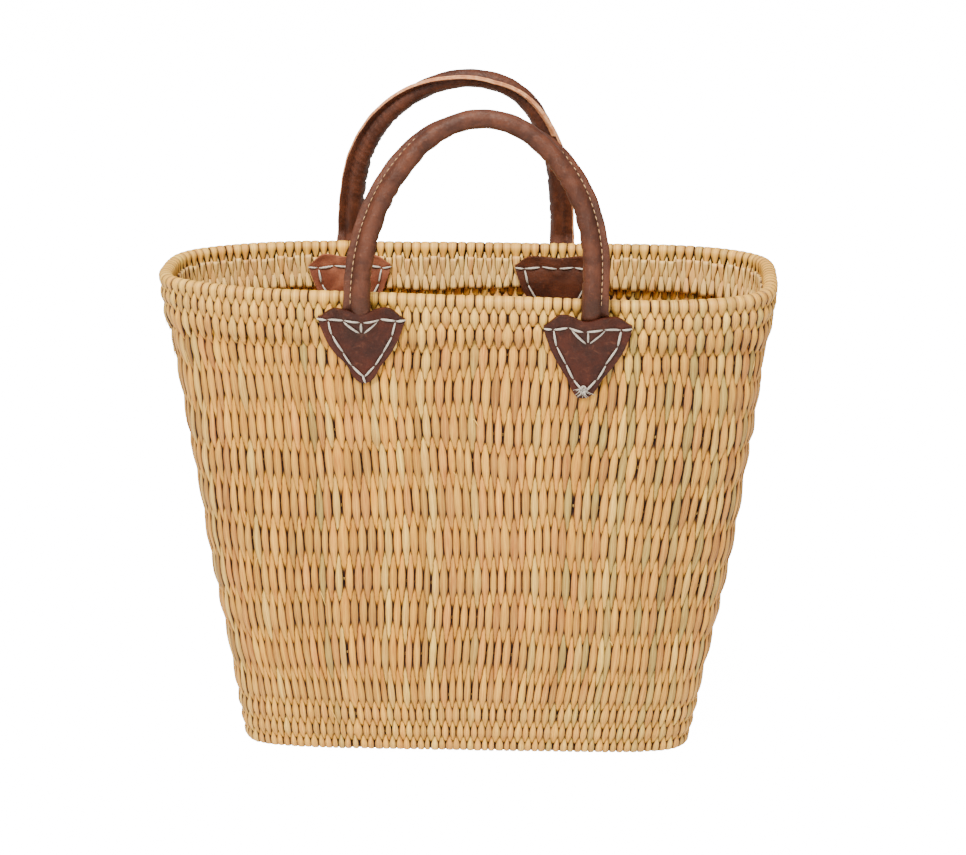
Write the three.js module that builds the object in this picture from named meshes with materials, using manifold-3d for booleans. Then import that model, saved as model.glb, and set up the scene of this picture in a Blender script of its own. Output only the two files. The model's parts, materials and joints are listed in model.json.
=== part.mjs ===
// Woven market basket: rush reeds woven over rings of palm cord, with two rolled leather handles
// stitched on through leather patches. Millimetres, +Z up; the origin is the middle of the base,
// on the ground. +X is the basket's right, and -Y is its front.
import * as THREE from 'three';
import { mergeVertices } from 'three/addons/utils/BufferGeometryUtils.js';
import Module from 'manifold-3d';

const wasm = await Module();
wasm.setup();

// The woven shell. Half lengths run along X and half depths along Y, to the middle of the wall.
const RIM_HEIGHT = 345;
const RIM_HALF_LENGTH = 212.5;
const RIM_HALF_DEPTH = 80;
const BASE_HALF_LENGTH = 157.5;
const BASE_HALF_DEPTH = 55.5;
const BOW_LENGTH = 2.5;
const BOW_DEPTH = 3;
const BASE_SQUARENESS = 6;
const RIM_SQUARENESS_LEFT = 3.3;
const RIM_SQUARENESS_RIGHT = 4.1;
const REED_THICKNESS = 2.8;
const CORD_RADIUS = 1.5;
const CLEARANCE = 0.3;
const CORD_HEIGHTS = [332.5, 319.5, 300.5, 275.5, 244.5, 223, 191.5, 163, 133, 106.5, 78, 46.5, 31, 17.5];

// The rim: the reeds fold over its cord, thicken the wall outside and end in a hem inside.
const RIM_CORD_HEIGHT = 340.5;
const BAND_HEIGHT = 326;
const BAND_PROUD = 7;
const HEM_HEIGHT = 311;
const HEM_PROUD = 7.4;
const HEM_TOP = 336;
const RIM_ROUNDING = 4;

// The base: two layers of reeds with straight cords between them.
const BASE_CORD_COUNT = 7;
const BASE_CORD_PITCH = 15;
const BASE_CORD_RADIUS = 1.2;
const BASE_CORD_SHARE = 0.95;

// The handles: rolled leather round a rope core, its two edges stitched together as a flange.
const PIVOT_HEIGHT = 348;
const PIVOT_DEPTH = 96.5;
const HANDLE_LEAN = THREE.MathUtils.degToRad(10.5);
const LEG_LENGTH = 20;
const LEG_SHARE = 0.06;
const ARCH_RISE = 101;
const SLEEVE_RADIUS = 7;
const SLEEVE_BORE = 5.2;
const ROPE_RADIUS = 4.5;
const FLANGE_REACH = 11.5;
const FLANGE_HALF_THICKNESS = 1.5;
const SEAM_REACH = 9.3;
const SEAM_WIDTH = 1;
const HANDLES = [
  { name: 'front', side: -1, centre: 8.75, halfSpan: 79.3, skew: 3 },
  { name: 'back', side: 1, centre: -13.8, halfSpan: 76.2, skew: 10 },
];

// The patches, one pair for each foot of a handle; top is the height of the outer patch's top.
const PATCH_WIDTH = 60;
const LEATHER = 2.2;
const STRAP_WIDTH = 20;
const STRAP_THICKNESS = 3;
const STRAP_TOP = 340;
const STRAP_HEAD = 10;
const STITCH_THICKNESS = 1;
const STITCH_INSET = 6;
const STITCH_WIDTH = 1.5;
const PATCHES = [
  { name: 'front_left', side: -1, x: -68.6, top: 335.4, height: 52, foot: -70.5 },
  { name: 'front_right', side: -1, x: 87.5, top: 331.7, height: 58, foot: 88 },
  { name: 'back_left', side: 1, x: -90, top: 334.5, height: 56, foot: -90 },
  { name: 'back_right', side: 1, x: 61, top: 334.5, height: 56, foot: 62.4 },
];

// How finely the curves are cut.
const RING_STEPS = 32;
const ARCH_STEPS = 28;
const PATCH_CURVE_STEPS = 3;
const SPOOL = 1000;
const SKIN_LEVELS = [50, 100, 150, 200, 250, 290];

const FINISHES = {
  reed: new THREE.MeshStandardMaterial({ color: 0xdcb986, roughness: 0.7, metalness: 0 }),
  palm_cord: new THREE.MeshStandardMaterial({ color: 0x8a6a3e, roughness: 0.9, metalness: 0 }),
  leather: new THREE.MeshStandardMaterial({ color: 0x753c30, roughness: 0.5, metalness: 0 }),
  thread: new THREE.MeshStandardMaterial({ color: 0xdcd6c8, roughness: 0.6, metalness: 0 }),
};

const { lerp } = THREE.MathUtils;
const basket = new THREE.Group();

// Adds a named piece with its own material to a group.
function add(name, finish, geometry, parent = basket) {
  const mesh = new THREE.Mesh(geometry, FINISHES[finish].clone());
  mesh.name = name;
  parent.add(mesh);
  return mesh;
}

// Welds a geometry's shared corners and drops the empty triangles that welding leaves.
function welded(geometry) {
  geometry.deleteAttribute('normal');
  geometry.deleteAttribute('uv');
  const merged = mergeVertices(geometry, 1e-3);
  const kept = [];
  const index = merged.index.array;
  for (let i = 0; i < index.length; i += 3) {
    const [a, b, c] = index.slice(i, i + 3);
    if (a !== b && b !== c && c !== a) kept.push(a, b, c);
  }
  merged.setIndex(kept);
  merged.computeVertexNormals();
  return merged;
}

function toManifold(geometry) {
  const solid = welded(geometry);
  return new wasm.Manifold(new wasm.Mesh({
    numProp: 3,
    vertProperties: new Float32Array(solid.attributes.position.array),
    triVerts: new Uint32Array(solid.index.array),
  }));
}

function fromManifold(manifold) {
  const mesh = manifold.getMesh();
  const geometry = new THREE.BufferGeometry();
  geometry.setAttribute('position', new THREE.BufferAttribute(mesh.vertProperties, 3));
  geometry.setIndex(new THREE.BufferAttribute(mesh.triVerts, 1));
  geometry.computeVertexNormals();
  return geometry;
}

// ---- The wall's surface ----

function halfLengthAt(z) {
  const rise = z / RIM_HEIGHT;
  return lerp(BASE_HALF_LENGTH, RIM_HALF_LENGTH, rise) + BOW_LENGTH * Math.sin(Math.PI * rise);
}

function halfDepthAt(z) {
  const rise = z / RIM_HEIGHT;
  return lerp(BASE_HALF_DEPTH, RIM_HALF_DEPTH, rise) + BOW_DEPTH * Math.sin(Math.PI * rise);
}

// The plan is a superellipse that grows rounder towards the rim, most of all at its left end.
function squarenessAt(x, z) {
  return lerp(BASE_SQUARENESS, x < 0 ? RIM_SQUARENESS_LEFT : RIM_SQUARENESS_RIGHT, z / RIM_HEIGHT);
}

// Distance of the wall's middle from the XZ plane.
function depthAt(x, z) {
  const squareness = squarenessAt(x, z);
  const share = (Math.abs(x) / halfLengthAt(z)) ** squareness;
  return halfDepthAt(z) * (1 - share) ** (1 / squareness);
}

// Wraps a shape turned about Z on the wall: its distance past SPOOL becomes the distance outside
// the middle of the wall, and corners on the axis stay there.
function wrapOnWall(profile) {
  const points = profile.map(([reach, z]) => new THREE.Vector2(reach, z));
  const geometry = new THREE.LatheGeometry(points, RING_STEPS);
  geometry.rotateX(Math.PI / 2);
  const position = geometry.attributes.position;
  for (let i = 0; i < position.count; i += 1) {
    const radius = Math.hypot(position.getX(i), position.getY(i));
    if (radius > 1) {
      const [cosine, sine] = [position.getX(i) / radius, position.getY(i) / radius];
      const z = position.getZ(i);
      const power = 2 / squarenessAt(cosine, z);
      const offset = radius - SPOOL;
      const x = (halfLengthAt(z) + offset) * Math.sign(cosine) * Math.abs(cosine) ** power;
      const y = (halfDepthAt(z) + offset) * Math.sign(sine) * Math.abs(sine) ** power;
      position.setXY(i, x, y);
    }
  }
  return welded(geometry);
}

// A closed ring round the wall, from its section's corners as [distance outside, height].
function ring(section) {
  const closed = [...section, section[0]];
  return wrapOnWall(closed.map(([offset, z]) => [SPOOL + offset, z]));
}

// A flat sheet that fills the wall's outline.
function disc(offset, bottom, top) {
  return wrapOnWall([[0, bottom], [SPOOL + offset, bottom], [SPOOL + offset, top], [0, top]]);
}

// A square section of a cord that runs round the wall.
function cordRing(z) {
  const r = CORD_RADIUS;
  return ring([[-r, z - r], [r, z - r], [r, z + r], [-r, z + r]]);
}

// ---- The woven shell ----

const skinInner = CORD_RADIUS + CLEARANCE;
const skinOuter = skinInner + REED_THICKNESS;
const baseCordTop = REED_THICKNESS + 2 * CLEARANCE + 2 * BASE_CORD_RADIUS;
const baseTop = baseCordTop + REED_THICKNESS;

function outerReeds() {
  const top = BAND_HEIGHT - CLEARANCE;
  const levels = SKIN_LEVELS;
  return ring([
    [skinInner, 0],
    [skinInner + REED_THICKNESS / 2, 0],
    [skinOuter, 6],
    ...levels.map((z) => [skinOuter, z]),
    [skinOuter, top],
    [skinInner, top],
    ...levels.toReversed().map((z) => [skinInner, z]),
  ]);
}

function innerReeds() {
  const levels = [baseTop + CLEARANCE, ...SKIN_LEVELS, HEM_TOP];
  return ring([
    ...levels.map((z) => [-skinInner, z]),
    ...levels.toReversed().map((z) => [-skinOuter, z]),
  ]);
}

// The reeds folded over the rim cord: a thick band outside, and the hem of cut ends inside.
function rimFold() {
  const cavityTop = RIM_CORD_HEIGHT + CORD_RADIUS + CLEARANCE;
  const hemBack = -skinOuter - CLEARANCE;
  const hemRoof = HEM_TOP + CLEARANCE;
  return ring([
    [skinInner, BAND_HEIGHT],
    [BAND_PROUD - RIM_ROUNDING / 4, BAND_HEIGHT],
    [BAND_PROUD, BAND_HEIGHT + RIM_ROUNDING],
    [BAND_PROUD, RIM_HEIGHT - RIM_ROUNDING],
    [BAND_PROUD - RIM_ROUNDING, RIM_HEIGHT],
    [RIM_ROUNDING - HEM_PROUD, RIM_HEIGHT],
    [-HEM_PROUD, RIM_HEIGHT - RIM_ROUNDING],
    [-HEM_PROUD, HEM_HEIGHT],
    [hemBack, HEM_HEIGHT],
    [hemBack, hemRoof],
    [-skinInner, hemRoof],
    [-skinInner, cavityTop],
    [skinInner, cavityTop],
  ]);
}

add('outer_reeds', 'reed', outerReeds());
add('inner_reeds', 'reed', innerReeds());
add('rim_fold', 'reed', rimFold());
add('rim_cord', 'palm_cord', cordRing(RIM_CORD_HEIGHT));
CORD_HEIGHTS.forEach((z, i) => {
  add(`wall_cord_${String(i + 1).padStart(2, '0')}`, 'palm_cord', cordRing(z));
});

// ---- The base ----

function baseCord(y) {
  const across = (Math.abs(y) / BASE_HALF_DEPTH) ** BASE_SQUARENESS;
  const outlineLength = 2 * BASE_HALF_LENGTH * (1 - across) ** (1 / BASE_SQUARENESS);
  const length = BASE_CORD_SHARE * outlineLength;
  const cord = new THREE.CylinderGeometry(BASE_CORD_RADIUS, BASE_CORD_RADIUS, length, 6);
  return welded(cord.rotateZ(Math.PI / 2));
}

add('base_reeds_lower', 'reed', disc(skinInner - CLEARANCE, 0, REED_THICKNESS));
add('base_reeds_upper', 'reed', disc(skinInner - CLEARANCE, baseCordTop, baseTop));
for (let i = 0; i < BASE_CORD_COUNT; i += 1) {
  const y = (i - (BASE_CORD_COUNT - 1) / 2) * BASE_CORD_PITCH;
  const cord = add(`base_cord_${i + 1}`, 'palm_cord', baseCord(y));
  cord.position.set(0, y, REED_THICKNESS + CLEARANCE + BASE_CORD_RADIUS);
}

// ---- The handles ----

// The middle line of a handle: up one leg, over half an ellipse and down the other leg.
class HandleLine extends THREE.Curve {
  constructor(handle) {
    super();
    this.handle = handle;
  }

  getPoint(t, target = new THREE.Vector3()) {
    const { side, centre, halfSpan, skew } = this.handle;
    const turn = Math.PI * THREE.MathUtils.clamp((t - LEG_SHARE) / (1 - 2 * LEG_SHARE), 0, 1);
    const leg = Math.min(t, 1 - t, LEG_SHARE) / LEG_SHARE * LEG_LENGTH;
    const up = leg + ARCH_RISE * Math.sin(turn);
    const x = centre - halfSpan * Math.cos(turn) + skew * up / (LEG_LENGTH + ARCH_RISE);
    const y = side * (PIVOT_DEPTH - up * Math.sin(HANDLE_LEAN));
    return target.set(x, y, PIVOT_HEIGHT + up * Math.cos(HANDLE_LEAN));
  }
}

// Points on an arc about the handle's middle line, anticlockwise.
function arc(radius, from, to, count) {
  return Array.from({ length: count }, (_, i) => {
    const angle = lerp(from, to, i / (count - 1));
    return new THREE.Vector2(radius * Math.cos(angle), radius * Math.sin(angle));
  });
}

function circle(radius) {
  return arc(radius, 0, 2 * Math.PI, 9).slice(1);
}

function sweep(shape, handle) {
  const options = { steps: ARCH_STEPS, bevelEnabled: false, extrudePath: new HandleLine(handle) };
  return welded(new THREE.ExtrudeGeometry(shape, options));
}

// The leather's section: a tube whose stitched edges stand out from the arch as a flange.
function sleeveSection() {
  const mouth = Math.asin(FLANGE_HALF_THICKNESS / SLEEVE_RADIUS);
  const shape = new THREE.Shape([
    new THREE.Vector2(FLANGE_REACH, -FLANGE_HALF_THICKNESS),
    new THREE.Vector2(FLANGE_REACH, FLANGE_HALF_THICKNESS),
    ...arc(SLEEVE_RADIUS, mouth, 2 * Math.PI - mouth, 12),
  ]);
  shape.holes.push(new THREE.Path(circle(SLEEVE_BORE)));
  return shape;
}

function seamSection() {
  const [inner, outer] = [SEAM_REACH - SEAM_WIDTH / 2, SEAM_REACH + SEAM_WIDTH / 2];
  const foot = FLANGE_HALF_THICKNESS + CLEARANCE;
  return new THREE.Shape([
    new THREE.Vector2(inner, foot),
    new THREE.Vector2(outer, foot),
    new THREE.Vector2(SEAM_REACH, foot + SEAM_WIDTH),
  ]);
}

for (const handle of HANDLES) {
  add(`${handle.name}_handle_sleeve`, 'leather', sweep(sleeveSection(), handle));
  add(`${handle.name}_handle_core`, 'palm_cord', sweep(new THREE.Shape(circle(ROPE_RADIUS)), handle));
  add(`${handle.name}_handle_seam`, 'thread', sweep(seamSection(), handle));
}

// ---- The patches ----

// A shield with two soft lobes at its top and a blunt tip, centred on its own height.
function shield(width, height) {
  const [w, h] = [width / 2, height];
  const top = height / 2;
  const shape = new THREE.Shape();
  shape.moveTo(-w, top - 0.15 * h);
  shape.quadraticCurveTo(-0.85 * w, top - 0.5 * h, -0.3 * w, top - 0.9 * h);
  shape.quadraticCurveTo(0, top - 1.1 * h, 0.3 * w, top - 0.9 * h);
  shape.quadraticCurveTo(0.85 * w, top - 0.5 * h, w, top - 0.15 * h);
  shape.quadraticCurveTo(0.95 * w, top, 0.45 * w, top);
  shape.quadraticCurveTo(0.2 * w, top, 0, top - 0.04 * h);
  shape.quadraticCurveTo(-0.2 * w, top, -0.45 * w, top);
  shape.quadraticCurveTo(-0.95 * w, top, -w, top - 0.15 * h);
  return shape;
}

// The loop that the stitches follow, inside the patch's edge.
function stitchLoop(height) {
  const inset = 2 * STITCH_INSET;
  const holeInset = inset + 2 * STITCH_WIDTH;
  const loop = shield(PATCH_WIDTH - inset, height - inset);
  const hole = shield(PATCH_WIDTH - holeInset, height - holeInset);
  loop.holes.push(new THREE.Path(hole.getPoints(PATCH_CURVE_STEPS)));
  return loop;
}

function slab(shape, from, thickness) {
  const options = { depth: thickness, bevelEnabled: false, curveSegments: PATCH_CURVE_STEPS };
  return new THREE.ExtrudeGeometry(shape, options).translate(0, 0, from);
}

// A sheet that lies on the wall at both sides and rises in the middle over the handle's strap.
function humpedSheet(from, thickness) {
  const rise = STRAP_THICKNESS + 2 * CLEARANCE;
  const [crown, foot, edge] = [STRAP_WIDTH / 2 + 3, STRAP_WIDTH / 2 + 8, PATCH_WIDTH];
  const line = [[-edge, 0], [-foot, 0], [-crown, rise], [crown, rise], [foot, 0], [edge, 0]];
  const shape = new THREE.Shape([
    ...line.map(([x, z]) => new THREE.Vector2(x, from + z)),
    ...line.toReversed().map(([x, z]) => new THREE.Vector2(x, from + z + thickness)),
  ]);
  const sheet = new THREE.ExtrudeGeometry(shape, { depth: 2 * PATCH_WIDTH, bevelEnabled: false });
  return sheet.translate(0, 0, -PATCH_WIDTH).rotateX(Math.PI / 2);
}

// Cuts a humped sheet to an outline. The outline's solid spans the whole rise of the sheet.
function humpedPiece(shape, from, thickness) {
  const prism = toManifold(slab(shape, 0, PATCH_WIDTH));
  return fromManifold(prism.intersect(toManifold(humpedSheet(from, thickness))));
}

// The flattened end of the handle's leather, from under the patch up to the bend.
function strapEnd(bottom, patchTop, top, face) {
  const inner = face + CLEARANCE;
  const side = new THREE.Shape([
    new THREE.Vector2(bottom, inner),
    new THREE.Vector2(top, inner),
    new THREE.Vector2(top, inner + STRAP_HEAD),
    new THREE.Vector2(top - STRAP_THICKNESS / 2, inner + STRAP_HEAD),
    new THREE.Vector2(patchTop + CLEARANCE, inner + STRAP_THICKNESS),
    new THREE.Vector2(bottom, inner + STRAP_THICKNESS),
  ]);
  const strap = new THREE.ExtrudeGeometry(side, { depth: STRAP_WIDTH, bevelEnabled: false });
  const acrossWidth = new THREE.Matrix4().makeBasis(
    new THREE.Vector3(0, 1, 0),
    new THREE.Vector3(0, 0, 1),
    new THREE.Vector3(1, 0, 0),
  );
  return strap.translate(0, 0, -STRAP_WIDTH / 2).applyMatrix4(acrossWidth);
}

// Everything at one foot of a handle, in a group that lies on the wall: x runs along the wall,
// y up it and z out of it, from the chord of the wall across the patch.
function patchSet({ name, side, x, top, height, foot }) {
  const facing = new THREE.Group();
  facing.rotation.z = side < 0 ? 0 : Math.PI;
  basket.add(facing);
  const z = top - height / 2;
  const mirror = -side;
  const depth = (along, up) => depthAt(mirror * along, up);
  const [along, reach] = [mirror * x, PATCH_WIDTH / 2];
  const [leftDepth, rightDepth] = [depth(along - reach, z), depth(along + reach, z)];
  const chordDepth = (leftDepth + rightDepth) / 2;
  const sagitta = depth(along, z) - chordDepth;
  const slope = Math.atan((depth(along, z + reach) - depth(along, z - reach)) / (2 * reach));

  const pad = new THREE.Group();
  pad.position.set(along, -chordDepth, z);
  pad.rotation.set(Math.PI / 2 + slope, 0, Math.atan2(leftDepth - rightDepth, 2 * reach), 'ZYX');
  facing.add(pad);

  const face = BAND_PROUD + sagitta + CLEARANCE;
  const outline = shield(PATCH_WIDTH, height);
  add(`${name}_outer_patch`, 'leather', humpedPiece(outline, face + CLEARANCE, LEATHER), pad);
  const stitchFace = face + 3 * CLEARANCE + LEATHER;
  const outerStitching = humpedPiece(stitchLoop(height), stitchFace, STITCH_THICKNESS);
  add(`${name}_outer_stitching`, 'thread', outerStitching, pad);

  const innerFace = -(HEM_PROUD + 4 * CLEARANCE + LEATHER);
  add(`${name}_inner_patch`, 'leather', welded(slab(outline, innerFace, LEATHER)), pad);
  const innerStitchFace = innerFace - CLEARANCE - STITCH_THICKNESS;
  const innerStitching = welded(slab(stitchLoop(height), innerStitchFace, STITCH_THICKNESS));
  add(`${name}_inner_stitching`, 'thread', innerStitching, pad);

  const strapTop = STRAP_TOP - z;
  const strap = welded(strapEnd(-height / 4, height / 2, strapTop, face));
  const strapMesh = add(`${name}_strap_end`, 'leather', strap, pad);
  strapMesh.position.x = mirror * (foot - x);
}

PATCHES.forEach(patchSet);

export default basket;
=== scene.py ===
# %% [markdown]
# # A woven market basket
# This basket is made of rush reeds that run up the wall and pass over and under rings of palm cord.
# Its two handles are rolled leather, sewn to the rim through shield shaped patches. The hard frame
# of the basket is already modelled, so the lesson loads it first and measures everything from it.

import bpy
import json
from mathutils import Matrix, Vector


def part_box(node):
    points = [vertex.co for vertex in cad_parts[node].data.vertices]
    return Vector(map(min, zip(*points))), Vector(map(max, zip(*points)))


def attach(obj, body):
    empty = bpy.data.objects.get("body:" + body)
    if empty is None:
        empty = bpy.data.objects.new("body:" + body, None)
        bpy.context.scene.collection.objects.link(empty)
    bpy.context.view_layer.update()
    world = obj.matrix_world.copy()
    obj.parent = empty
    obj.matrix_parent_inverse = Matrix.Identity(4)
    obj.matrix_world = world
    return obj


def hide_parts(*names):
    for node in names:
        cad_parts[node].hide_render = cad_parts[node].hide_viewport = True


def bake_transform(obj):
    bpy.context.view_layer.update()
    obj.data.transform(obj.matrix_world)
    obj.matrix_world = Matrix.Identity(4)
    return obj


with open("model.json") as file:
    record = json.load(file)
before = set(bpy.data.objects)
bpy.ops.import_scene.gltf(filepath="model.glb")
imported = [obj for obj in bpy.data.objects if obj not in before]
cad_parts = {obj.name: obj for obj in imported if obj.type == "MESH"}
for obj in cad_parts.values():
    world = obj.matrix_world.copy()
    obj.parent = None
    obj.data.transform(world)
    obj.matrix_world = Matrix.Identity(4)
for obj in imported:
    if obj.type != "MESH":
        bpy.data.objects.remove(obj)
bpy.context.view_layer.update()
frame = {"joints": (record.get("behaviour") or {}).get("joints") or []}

# %% Working tools
import json
import math

import bmesh
import bpy
import numpy as np
from mathutils import Vector

MM = 0.001
chance = np.random.default_rng(11)


def between(low, high, share):
    return low + (high - low) * share


def smooth(low, high, value):
    """0 below low, 1 above high, and a soft step between."""
    share = np.clip((value - low) / (high - low), 0, 1)
    return share * share * (3 - 2 * share)


def middle(node, axis):
    low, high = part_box(node)
    return (low[axis] + high[axis]) / 2 / MM


# %% [markdown]
# ## The shape of the wall
# From above, the basket is a long rectangle with round corners, a superellipse. It is squarer at
# the base than at the rim. The frame has a ring of cord at each row of the weave, so the height
# and the size of every row are read from those rings. The two rings next to the rim have slipped
# down a little. The wall is then a table of outlines: once it is there, any reed can be laid at a
# share of the way round and at a height.

# %% Rows of cord
CORD_RADIUS = 1.5
BAND_SLIP = 3.2
CORDS = ["rim_cord"] + [f"wall_cord_{k:02d}" for k in range(1, 15)]
LAST = len(CORDS) - 1
row_height = np.array([middle(cord, 2) for cord in CORDS])
row_height[1:3] -= BAND_SLIP
row_length = np.array([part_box(cord)[1].x / MM - CORD_RADIUS for cord in CORDS])
row_depth = np.array([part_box(cord)[1].y / MM - CORD_RADIUS for cord in CORDS])
print(len(CORDS), "rows from", row_height[0].round(1), "down to", row_height[-1].round(1))

# %% Cords under the base
BASE_MARGIN = 2.0
straight = [f"base_cord_{k}" for k in range(1, 8)]
base_length, base_depth = [v / MM - BASE_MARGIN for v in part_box("base_reeds_lower")[1].xy]
base_rows = sorted({round(abs(middle(cord, 1)), 1) for cord in straight}, reverse=True)
print("cords under the base at", base_rows)

# %% Outlines of the wall
BASE_SQUARENESS = 6
RIM_SQUARENESS = (3.3, 4.1)
BELLY = 2.2
AROUND = 1024
FINE_STEPS = 12001
LEVELS = np.linspace(0, row_height[0] + 1, 60)


def outline(height):
    """Places round the wall at one height, evenly spaced, from the left end by the front."""
    up = height / row_height[0]
    known = np.append(row_height, 0)[::-1]
    length = np.interp(height, known, np.append(row_length, base_length)[::-1])
    depth = np.interp(height, known, np.append(row_depth, base_depth)[::-1])
    turn = np.linspace(math.pi, 3 * math.pi, FINE_STEPS)
    c, s = np.cos(turn), np.sin(turn)
    power = 2 / between(BASE_SQUARENESS, np.where(c < 0, *RIM_SQUARENESS), up)
    x = length * np.sign(c) * np.abs(c) ** power
    y = depth * np.sign(s) * np.abs(s) ** power
    along = np.append(0, np.cumsum(np.hypot(np.diff(x), np.diff(y))))
    even = np.linspace(0, along[-1], AROUND + 1)
    x = np.interp(even, along, x) + BELLY * math.sin(math.pi * min(up, 1))
    return x, np.interp(even, along, y), along[-1]


outlines = [outline(level) for level in LEVELS]
wall_places = np.array([np.stack(o[:2], axis=-1) for o in outlines])
wall_girth = np.array([o[2] for o in outlines])
closed = np.concatenate([wall_places[:, -2:-1], wall_places, wall_places[:, 1:2]], axis=1)
wall_tangents = closed[:, 2:] - closed[:, :-2]
wall_tangents /= np.linalg.norm(wall_tangents, axis=-1, keepdims=True)
print("girth at the base and the rim:", wall_girth[[0, -1]].round())


# %% Any place on the wall
def wall(around, height):
    """Middle of the wall and its outward normal, each as x and y."""
    column = np.mod(around, 1) * AROUND
    i = np.minimum(column.astype(int), AROUND - 1)
    f = (column - i)[..., None]
    level = np.clip(height / LEVELS[-1], 0, 1) * (len(LEVELS) - 1)
    j = np.minimum(level.astype(int), len(LEVELS) - 2)
    g = (level - j)[..., None]

    def read(table):
        low = between(table[j, i], table[j, i + 1], f)
        return between(low, between(table[j + 1, i], table[j + 1, i + 1], f), g)

    tangent = read(wall_tangents)
    normal = np.stack([tangent[..., 1], -tangent[..., 0]], axis=-1)
    return read(wall_places), normal / np.linalg.norm(normal, axis=-1, keepdims=True)


def girth(height):
    return np.interp(height, LEVELS, wall_girth)


def around_at(x, height, side):
    """How far round the wall has this x, on the front (side -1) or the back (side 1)."""
    around = np.where(side < 0, 0.25, 0.75) + 0 * (x + height)
    for _ in range(12):
        place, _normal = wall(around, height + 0 * around)
        step = (x - place[..., 0]) / girth(height)
        around = around - side * step * 0.9
    return around


print("the middle of the front, half way up, is at", wall(0.25, row_height[0] / 2)[0].round(1))

# %% Uneven rows
RIM_LEAN = 4.1
LEAN_START, LEAN_SPAN = 245, 90
BASE_CALM, RIM_CALM = 12, 350


def settle(points):
    """The small lean of the rim and the uneven rows of hand work. Points are in millimetres."""
    x, y, z = points[:, 0], points[:, 1], points[:, 2]
    share = x / row_length[0]
    high = np.clip((z - LEAN_START) / LEAN_SPAN, 0, 1)
    lean = -RIM_LEAN * share * np.clip(-y / row_depth[0], 0, 1) * high
    sag = (1.8 - 1.5 * share - 7 * share**2) * smooth(50, 130, z) * (1 - smooth(285, 325, z))
    turn = np.arctan2(y / row_depth[0], share)
    wander = 1.1 * np.sin(5 * turn + 0.047 * z) + 0.9 * np.sin(11 * turn + 1.3 - 0.03 * z)
    calm = np.clip((z - BASE_CALM) / 60, 0, 1) * np.clip((RIM_CALM - z) / 50, 0.25, 1)
    out = points.copy()
    out[:, 2] = z + lean + sag + wander * calm
    return out


print("the rim leans by", RIM_LEAN, "mm at each end of the front")

# %% [markdown]
# ## One reed
# A reed is one long flat prism. It starts as a cylinder of eight sides that is cut across many
# times: eight rings to each row of cord, so one stretch of reed has 64 faces. Its z coordinate
# isn't a height yet, it is a row number. That keeps the mesh simple, and one formula bends it.
# Row 0 is the cord in the rim, 14 the lowest on the wall, and 16 to 19 lie under the base.

# %% A tube to start from
REED_SIDES = 8
RINGS_PER_ROW = 8


def tube(sides, rings):
    """A straight closed tube of unit radius. Its rings are at z = 0, 1, 2 and so on."""
    bm = bmesh.new()
    bmesh.ops.create_cone(bm, cap_ends=True, segments=sides, radius1=1, radius2=1, depth=rings - 1)
    bmesh.ops.translate(bm, verts=bm.verts, vec=(0, 0, (rings - 1) / 2))
    long_edges = [e for e in bm.edges if abs(e.verts[0].co.z - e.verts[1].co.z) > 0.5]
    bmesh.ops.subdivide_edges(bm, edges=long_edges, cuts=rings - 2, use_grid_fill=True)
    bmesh.ops.recalc_face_normals(bm, faces=bm.faces)
    mesh = bpy.data.meshes.new("tube")
    bm.to_mesh(mesh)
    bm.free()
    return mesh


def places_of(mesh):
    flat = np.zeros(len(mesh.vertices) * 3, np.float32)
    mesh.vertices.foreach_get("co", flat)
    return flat.reshape(-1, 3).astype(float)


print("a reed has", REED_SIDES, "sides and", RINGS_PER_ROW, "rings to each row")


# %% Copies of a tube in one mesh
def gather(name, templates):
    """One mesh with a copy of each template, and for every vertex the copy that it is in."""
    bm = bmesh.new()
    for template in templates:
        bm.from_mesh(template)
    mesh = bpy.data.meshes.new(name)
    bm.to_mesh(mesh)
    bm.free()
    owner = np.repeat(np.arange(len(templates)), [len(t.vertices) for t in templates])
    return mesh, owner


def shape(mesh, points):
    """Gives the mesh its final places, from millimetres, and shades it smooth."""
    mesh.vertices.foreach_set("co", (points * MM).astype(np.float32).ravel())
    mesh.polygons.foreach_set("use_smooth", np.ones(len(mesh.polygons), bool))
    mesh.update()


def faces_outwards(mesh):
    bm = bmesh.new()
    bm.from_mesh(mesh)
    bmesh.ops.recalc_face_normals(bm, faces=bm.faces)
    bm.to_mesh(mesh)
    bm.free()


# %% Attributes and pieces
def attribute(mesh, name, values):
    """Stores one number, vector or colour on every point, for the materials to read."""
    kind = {1: "FLOAT", 3: "FLOAT_VECTOR", 4: "FLOAT_COLOR"}[values.shape[1] if values.ndim > 1 else 1]
    field = {"FLOAT": "value", "FLOAT_VECTOR": "vector", "FLOAT_COLOR": "color"}[kind]
    made = mesh.attributes.new(name, kind, "POINT")
    made.data.foreach_set(field, values.astype(np.float32).ravel())


def piece(mesh, *materials):
    thing = bpy.data.objects.new(mesh.name, mesh)
    bpy.context.scene.collection.objects.link(thing)
    for material in materials:
        mesh.materials.append(material)
    return thing


print("pieces go into", bpy.context.scene.collection.name)

# %% [markdown]
# ## Where the reeds stand
# 316 reeds stand round the wall. They aren't all alike: most differ by a few per cent, and a few
# are much wider, which pushes their neighbours apart and lets the cord show between them. A reed
# goes down the front, under the base and up the back, so reed i and reed 316 - i are one and have
# the same width. At the two ends there is no room under the base, so those reeds are tucked in.

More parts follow.
